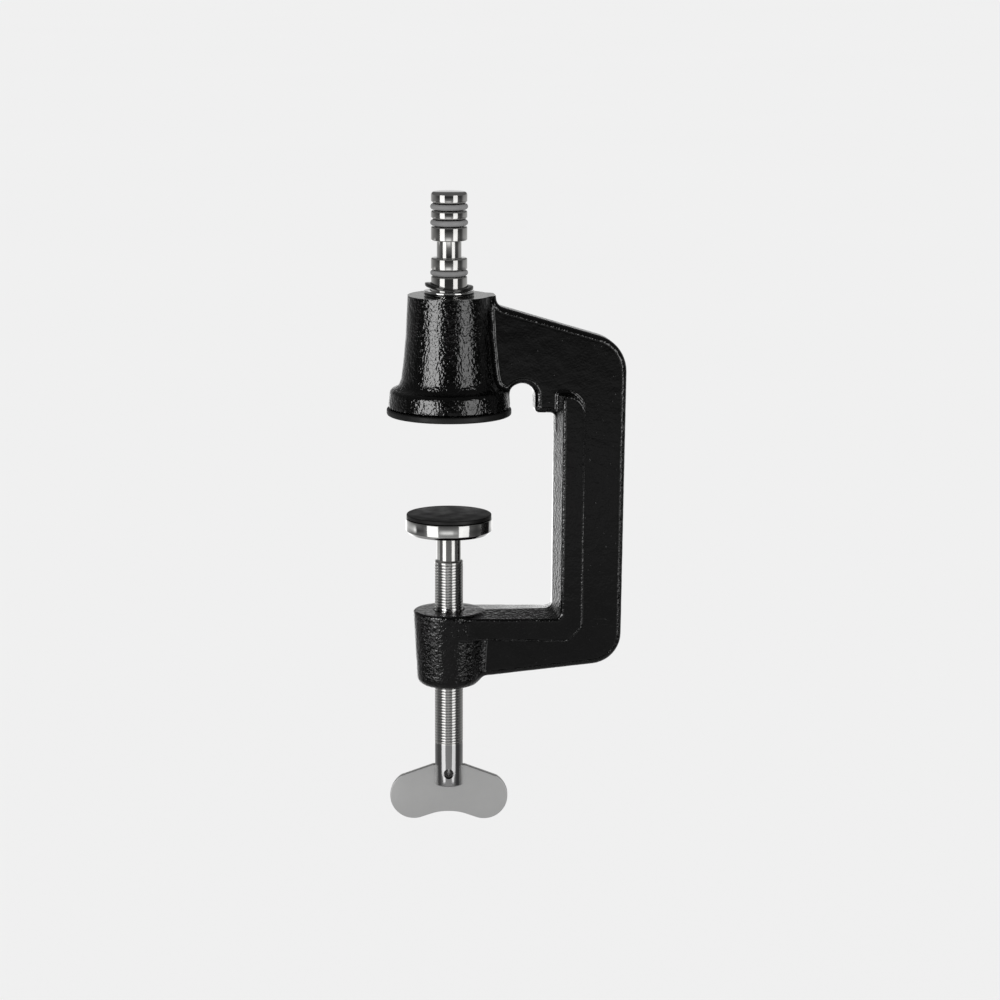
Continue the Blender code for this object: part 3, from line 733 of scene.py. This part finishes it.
def black_enamel():
    """Thick glossy enamel over cast iron: wrinkled on bosses and edges, calmer on the flat faces."""
    black = (0.0004, 0.0004, 0.0004)
    material, tree, shader = new_shader("black_enamel", black, 0.12, Specular_IOR_Level=0.3)
    facing = add_node(tree, "ShaderNodeTexCoord").outputs["Normal"]
    facing = add_node(tree, "ShaderNodeSeparateXYZ", facing).outputs["Y"]
    place = add_node(tree, "ShaderNodeSeparateXYZ", object_place(tree))
    low, high = BETWEEN_BOSSES
    boss = span(tree, place.outputs["Z"], low * MM, high * MM, LOWER_BOSS_REACH * MM, UPPER_BOSS_REACH * MM)
    on_boss = span(tree, maths(tree, "SUBTRACT", axis_radius(tree), boss), 0.0, 1.5 * MM, 1.0, 0.0)
    off_middle = maths(tree, "ABSOLUTE", place.outputs["Y"], 0.0)
    proud = span(tree, off_middle, (WEB_HALF + 0.3) * MM, (WEB_HALF + 1.0) * MM)
    flat = span(tree, maths(tree, "ABSOLUTE", facing, 0.0), 0.975, 0.997, 0.0, FACE_CALM)
    off_boss = maths(tree, "SUBTRACT", 1.0, maths(tree, "MULTIPLY", on_boss, proud))
    rough = maths(tree, "SUBTRACT", 1.0, maths(tree, "MULTIPLY", flat, off_boss))
    fine = maths(tree, "MULTIPLY", grain(tree, FINE_WRINKLE_SCALE, 1.0), 0.5)
    wrinkle = maths(tree, "ADD", grain(tree, WRINKLE_SCALE, 1.6, 0.55), fine)
    wrinkle = maths(tree, "MULTIPLY", wrinkle, rough)
    speck = span(tree, grain(tree, SPECK_SCALE, 1.0), 0.72, 0.8, 0.0, 0.1)
    raised(tree, shader, maths(tree, "ADD", wrinkle, speck), WRINKLE_HEIGHT)
    uneven_shine(tree, shader, grain(tree, SHINE_SCALE, 3.0), 0.07, 0.13)
    fleck = span(tree, grain(tree, FLECK_SCALE, 1.0), 0.68, 0.78)
    two_tone(tree, shader, fleck, ENAMEL_DARK, ENAMEL_FLECK)
    return material


def machined_face():
    """Bare turned end face of the casting, its lines running round the axis."""
    material, tree, shader = new_shader("machined_face", (0.5, 0.5, 0.49), 0.2, 1.0)
    lines = line_noise(tree, axis_radius(tree), 6000.0)
    raised(tree, shader, lines, 3e-6)
    tree.links.new(span(tree, lines, 0.3, 0.7, 0.14, 0.24), shader.inputs["Roughness"])
    worn = span(tree, grain(tree, 300.0, 3.0), 0.35, 0.7)
    two_tone(tree, shader, worn, (0.46, 0.46, 0.45), (0.36, 0.36, 0.35))
    return material


def steel(name, bright, dull, roughness, spread, lines_scale, lines_depth, paint_groove_shade=False):
    """Bare steel with turning lines across the axis, a little uneven in shine and tone."""
    material, tree, shader = new_shader(name, bright, roughness, 1.0)
    lines = line_noise(tree, height_value(tree), lines_scale)
    raised(tree, shader, lines, lines_depth)
    smudge = grain(tree, 240.0, 4.0, 0.6)
    mixed = maths(tree, "ADD", maths(tree, "MULTIPLY", lines, 0.5), maths(tree, "MULTIPLY", smudge, 0.5))
    uneven_shine(tree, shader, mixed, roughness, roughness + spread)
    tone = two_tone(tree, shader, span(tree, smudge, 0.38, 0.72), bright, dull)
    # Painted shade: the base colour darkens down in the thread's groove
    if paint_groove_shade:
        tree.links.new(tone_with_painted_groove_shade(tree, tone), shader.inputs["Base Color"])
    return material


def tone_with_painted_groove_shade(tree, tone):
    """Tone of the spindle: painted shade darkens the thread's groove towards its root, and the plain end is
    darker.
    """
    height = height_value(tree)
    above_foot = span(tree, height, (THREAD_FOOT - 0.1) * MM, (THREAD_FOOT + 0.1) * MM)
    below_top = span(tree, height, (THREAD_TOP - 0.9) * MM, (THREAD_TOP - 0.7) * MM, 1.0, 0.0)
    root, crest = (THREAD_RADIUS - THREAD_DEPTH) * MM, (THREAD_RADIUS - 0.05) * MM
    depth = span(tree, axis_radius(tree), root, crest, 1.0, 0.0)
    # Painted shade: share of the groove's grey, deepest at the root
    painted_groove_shade = maths(tree, "MULTIPLY", maths(tree, "MULTIPLY", above_foot, below_top), depth)
    on_end = span(tree, height, (THREAD_FOOT - 0.6) * MM, THREAD_FOOT * MM, 1.0, 0.0)
    return blend(tree, on_end, blend(tree, painted_groove_shade, tone, THREAD_ROOT_PAINTED_SHADE), PLAIN_END_TONE)


def flat_steel(name, bright, dull, roughness, spread, depth):
    """Tumbled or pressed steel with a fine even grain."""
    material, tree, shader = new_shader(name, bright, roughness, 1.0)
    broad = grain(tree, 130.0, 4.0, 0.6)
    raised(tree, shader, grain(tree, 3200.0, 2.0), depth)
    uneven_shine(tree, shader, broad, roughness, roughness + spread)
    two_tone(tree, shader, span(tree, broad, 0.35, 0.7), bright, dull)
    return material


def rubber(name, light, dark, roughness, depth):
    """Dull rubber with a fine grain."""
    material, tree, shader = new_shader(name, light, roughness, 0.0)
    broad = grain(tree, 200.0, 3.0)
    raised(tree, shader, grain(tree, 2600.0, 3.0, 0.6), depth)
    uneven_shine(tree, shader, broad, roughness - 0.08, roughness + 0.08)
    two_tone(tree, shader, span(tree, broad, 0.3, 0.7), light, dark)
    return material


# ---- studio --------------------------------------------------------------------------------

def glow(name, build):
    """Stage material that only gives light."""
    material = bpy.data.materials.new(name)
    material.use_nodes = True
    tree = material.node_tree
    tree.nodes.clear()
    emission = tree.nodes.new("ShaderNodeEmission")
    output = tree.nodes.new("ShaderNodeOutputMaterial")
    tree.links.new(emission.outputs[0], output.inputs["Surface"])
    build(tree, emission)
    material.cycles.emission_sampling = "NONE"
    return material


# Room as shiny surfaces see it. Heights in degrees above the horizon, then one row per direction:
# degrees from the camera's side, positive to the right, and the brightness at each of the heights.
# Most levels follow a scratch program's measures of the reflections in the photograph, rounded and
# then adjusted by hand, so this table breaks the rule that a script holds none made by a program.
ROOM_HEIGHTS = (-21.0, -15.2, -11.7, -6.4, 1.0)
ROOM_WALLS = [
    (-180, 1.8, 2.1, 2.7, 1.0, 0.75), (-165, 1.4, 1.8, 2.3, 0.8, 0.6),
    (-150, 0.6, 0.5, 0.95, 0.5, 0.5), (-133, 0.35, 0.3, 0.65, 0.36, 0.38),
    (-119, 0.25, 0.22, 0.75, 0.27, 0.3), (-110, 0.2, 0.24, 0.95, 0.24, 0.25),
    (-104, 0.16, 0.2, 1.5, 0.22, 0.2), (-99, 0.14, 0.17, 1.4, 0.21, 0.18),
    (-95, 0.12, 0.15, 0.05, 0.2, 0.16), (-88, 0.12, 0.15, 0.05, 0.17, 0.12),
    (-72, 0.12, 0.16, 0.08, 0.12, 0.06), (-62, 0.2, 0.25, 0.2, 0.2, 0.06),
    (-28, 0.45, 0.38, 0.42, 0.28, 0.05), (-20, 0.48, 0.34, 0.95, 0.24, 0.04),
    (-12, 0.48, 0.31, 1.3, 0.22, 0.04), (6, 0.46, 0.3, 1.3, 0.22, 0.04),
    (11, 0.46, 0.29, 1.1, 0.22, 0.04), (14, 0.46, 0.29, 0.62, 0.22, 0.04),
    (20, 0.46, 0.3, 0.55, 0.23, 0.04), (27, 0.45, 0.3, 0.33, 0.26, 0.06),
    (60, 0.12, 0.12, 0.08, 0.15, 0.07), (70, 0.08, 0.08, 0.06, 0.1, 0.05),
    (80, 0.07, 0.07, 0.05, 0.07, 0.05), (90, 0.09, 0.09, 0.06, 0.13, 0.08),
    (97, 0.12, 0.1, 0.03, 0.27, 0.2), (106, 0.2, 0.15, 0.03, 0.38, 0.3),
    (125, 0.3, 0.21, 0.05, 0.44, 0.35), (134, 0.4, 0.3, 0.46, 0.46, 0.4),
    (147, 0.5, 0.44, 0.95, 0.5, 0.45), (165, 0.7, 0.7, 1.2, 0.7, 0.6),
    (180, 1.8, 2.1, 2.7, 1.0, 0.75),
]
ROOM_ABOVE, ROOM_ABOVE_BAND = 0.14, (8.5, 12.5)
ROOM_BELOW, ROOM_BELOW_BAND = 0.4, (-30, -45)


def sine_span(tree, height, low, high):
    """0 to 1 as a height's sine goes from one angle in degrees to another."""
    return span(tree, height, math.sin(math.radians(low)), math.sin(math.radians(high)))


def room_light(tree, emission):
    """Brightness of the room by direction and height, its rows joined by straight blends."""
    parts = add_node(tree, "ShaderNodeSeparateXYZ", object_place(tree))
    x, y, z = parts.outputs[0], parts.outputs[1], parts.outputs[2]
    share = span(tree, maths(tree, "ARCTAN2", x, maths(tree, "MULTIPLY", y, -1.0)), -math.pi, math.pi)
    height = span(tree, z, -DOME_RADIUS, DOME_RADIUS, -1.0, 1.0)
    walls = None
    for row, degrees in enumerate(ROOM_HEIGHTS, 1):
        ramp = add_node(tree, "ShaderNodeValToRGB", share)
        stops = ramp.color_ramp.elements
        while len(stops) < len(ROOM_WALLS):
            stops.new(0.5)
        for stop, values in zip(stops, ROOM_WALLS):
            stop.position = values[0] / 360.0 + 0.5
            stop.color = (values[row], values[row], values[row], 1.0)
        if walls is None:
            walls = ramp.outputs[0]
        else:
            rise = sine_span(tree, height, ROOM_HEIGHTS[row - 2], degrees)
            walls = blend(tree, rise, walls, ramp.outputs[0])
    walls = blend(tree, sine_span(tree, height, *ROOM_ABOVE_BAND), walls, ROOM_ABOVE)
    walls = blend(tree, sine_span(tree, height, *ROOM_BELOW_BAND), walls, ROOM_BELOW)
    tree.links.new(walls, emission.inputs["Color"])


def add_floor():
    """Sheet of white paper under the clamp, left out of reflections."""
    shape = bmesh.new()
    bmesh.ops.create_circle(shape, cap_ends=True, segments=96, radius=FLOOR_REACH)
    mesh = to_mesh(shape, "floor")
    floor = bpy.data.objects.new("floor", mesh)
    floor.location = (0.0, 0.0, cad_box[0].z - FLOOR_DROP)
    bpy.context.scene.collection.objects.link(floor)
    material, tree, shader = new_shader("floor_paper", (0.9, 0.9, 0.9), 1.0, Specular_IOR_Level=0.0)
    two_tone(tree, shader, grain(tree, 1.2), FLOOR_LIGHT, FLOOR_DARK)
    mesh.materials.append(material)
    floor.visible_glossy = False
    floor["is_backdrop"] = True


def add_room():
    """Studio walls that only shiny surfaces see: dim in front, dark at the sides, light behind."""
    shape = bmesh.new()
    bmesh.ops.create_uvsphere(shape, u_segments=96, v_segments=48, radius=DOME_RADIUS)
    mesh = to_mesh(shape, "room")
    room = bpy.data.objects.new("room", mesh)
    room.rotation_euler = (0.0, 0.0, CAMERA_AZIMUTH)
    bpy.context.scene.collection.objects.link(room)
    mesh.materials.append(glow("room_light", room_light))
    for ray in ("camera", "diffuse", "transmission", "volume_scatter", "shadow"):
        setattr(room, "visible_" + ray, False)
    room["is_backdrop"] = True


def add_softbox(name, sides, top, foot, radiance, receivers):
    """Upright softbox between two directions, counted in degrees from the camera's side to the right."""
    left, right = (math.radians(value) for value in sides)
    middle, half = (left + right) / 2, (right - left) / 2
    turn = middle + CAMERA_AZIMUTH
    away = Vector((math.sin(turn), -math.cos(turn), 0.0))
    width, height = 2 * SOFTBOX_DISTANCE * math.tan(half), top - foot
    lamp = bpy.data.lights.new(name, "AREA")
    lamp.shape = "RECTANGLE"
    lamp.size, lamp.size_y = width, height
    lamp.energy = radiance * math.pi * width * height
    light = bpy.data.objects.new(name, lamp)
    light.location = away * SOFTBOX_DISTANCE + Vector((0.0, 0.0, (top + foot) / 2))
    light.rotation_euler = away.to_track_quat("Z", "Y").to_euler()
    light.visible_camera = False
    bpy.context.scene.collection.objects.link(light)
    light.light_linking.receiver_collection = receivers


def add_softboxes(name, objects, panels):
    """A left and a right softbox, of one or more panels, that light only these objects."""
    receivers = bpy.data.collections.new("lit_by_" + name)
    for item in objects:
        receivers.objects.link(item)
    for index, (top, foot, left_sides, left, right_sides, right) in enumerate(panels):
        add_softbox(f"{name}_left_{index}", left_sides, top, foot, left, receivers)
        add_softbox(f"{name}_right_{index}", right_sides, top, foot, right, receivers)


def add_studio(pieces):
    add_floor()
    add_room()
    enamelled = [piece for piece in pieces if piece.name == "casting"]
    add_softboxes("enamel_softbox", enamelled, ENAMEL_PANELS)
    add_softboxes("metal_softbox", [piece for piece in pieces if piece not in enamelled], METAL_PANELS)
    world = bpy.data.worlds.new("studio_air")
    world.use_nodes = True
    world.node_tree.nodes["Background"].inputs["Color"].default_value = (SKY, SKY, SKY, 1.0)
    world.cycles_visibility.glossy = False
    bpy.context.scene.world = world
    bpy.context.scene.view_settings.view_transform = "Standard"


def add_camera():
    data = bpy.data.cameras.new("camera")
    data.sensor_width = 36.0
    data.lens = CAMERA_LENS
    data.clip_start, data.clip_end = 0.05, 60.0
    camera = bpy.data.objects.new("camera", data)
    camera.location = CAMERA_PLACE
    camera.rotation_euler = [math.radians(value) for value in CAMERA_TURN]
    bpy.context.scene.collection.objects.link(camera)
    bpy.context.scene.camera = camera


# ---- the clamp -----------------------------------------------------------------------------

def build_clamp():
    """Fourteen pieces in place of their CAD nodes, and a finish for the three that stay."""
    # Steels: bright and dull colour, least roughness, its spread, turning lines per metre if any,
    # and how far lines or grain stand up in metres. Rubbers: light and dark colour, roughness, grain
    enamel, bare = black_enamel(), machined_face()
    turned_steel = steel("turned_steel", (0.62, 0.615, 0.6), (0.54, 0.535, 0.52), 0.04, 0.05, 9000.0, 8e-7)
    thread_steel = steel(
        "thread_steel", (0.64, 0.635, 0.62), (0.56, 0.555, 0.54), 0.07, 0.06, 9000.0, 8e-7, paint_groove_shade=True
    )
    plain_steel = steel("plain_steel", (0.62, 0.62, 0.61), (0.54, 0.54, 0.53), 0.05, 0.05, 7000.0, 1e-6)
    satin_steel = flat_steel("satin_steel", (0.69, 0.69, 0.685), (0.66, 0.66, 0.655), 0.4, 0.05, 2e-6)
    spring_steel = flat_steel("spring_steel", (0.1, 0.098, 0.095), (0.06, 0.059, 0.058), 0.16, 0.1, 3e-6)
    black_steel = flat_steel("black_steel", (0.05, 0.05, 0.05), (0.03, 0.03, 0.03), 0.25, 0.12, 3e-6)
    grey_rubber = rubber("grey_rubber", (0.22, 0.22, 0.22), (0.17, 0.17, 0.17), 0.5, 1e-5)
    black_rubber = rubber("black_rubber", (0.002, 0.002, 0.002), (0.001, 0.001, 0.001), 0.5, 1e-5)

    add_piece("casting", casting_mesh(), "frame", "clamp_frame", "black_enamel", enamel, bare)
    add_piece("spigot_post", spigot_mesh(), "frame", "spigot", "turned_steel", turned_steel)
    for name, height in O_RING_HEIGHTS.items():
        add_piece(name + "_rubber", o_ring_mesh(name, height), "frame", name, "grey_rubber", grey_rubber)
    radius, low, high = size_of("seat_washer")
    seat = ring("seat", radius, WASHER_BORE, low, high - SEAT_SINK, 0.1)
    add_piece("seat_ring", seat, "frame", "seat_washer", "black_steel", black_steel)
    radius, low, high = size_of("thrust_washer")
    thrust = ring("thrust", radius, WASHER_BORE, low - THRUST_SINK, high - THRUST_SINK, 0.18)
    add_piece("thrust_ring", thrust, "loose_washers", "thrust_washer", "plain_steel", plain_steel)
    add_piece("spring_washer", wave_mesh(), "loose_washers", "wave_washer", "spring_steel", spring_steel)
    add_piece("rubber_pad", pad_mesh(), "frame", "jaw_pad", "black_rubber", black_rubber)
    add_piece("clamping_disc", disc_mesh(), "disc", "pressure_disc", "plain_steel", plain_steel)
    add_piece("friction_facing", facing_mesh(), "disc", "disc_facing", "black_rubber", black_rubber)
    add_piece("screw_spindle", spindle_mesh(), "spindle", "clamp_spindle", "thread_steel", thread_steel)
    add_piece("wing", wing_mesh(), "spindle", "wing_plate", "satin_steel", satin_steel)
    add_piece("cross_pin", pin_mesh(), "spindle", "wing_pin", "spring_steel", spring_steel)
    kept_from_cad = {
        "spigot_screw": plain_steel, "spigot_lock_washer": spring_steel, "disc_retaining_ring": spring_steel,
    }
    for node, material in kept_from_cad.items():
        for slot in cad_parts[node].material_slots:
            slot.material = material


add_camera()
build_clamp()
add_studio(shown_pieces())
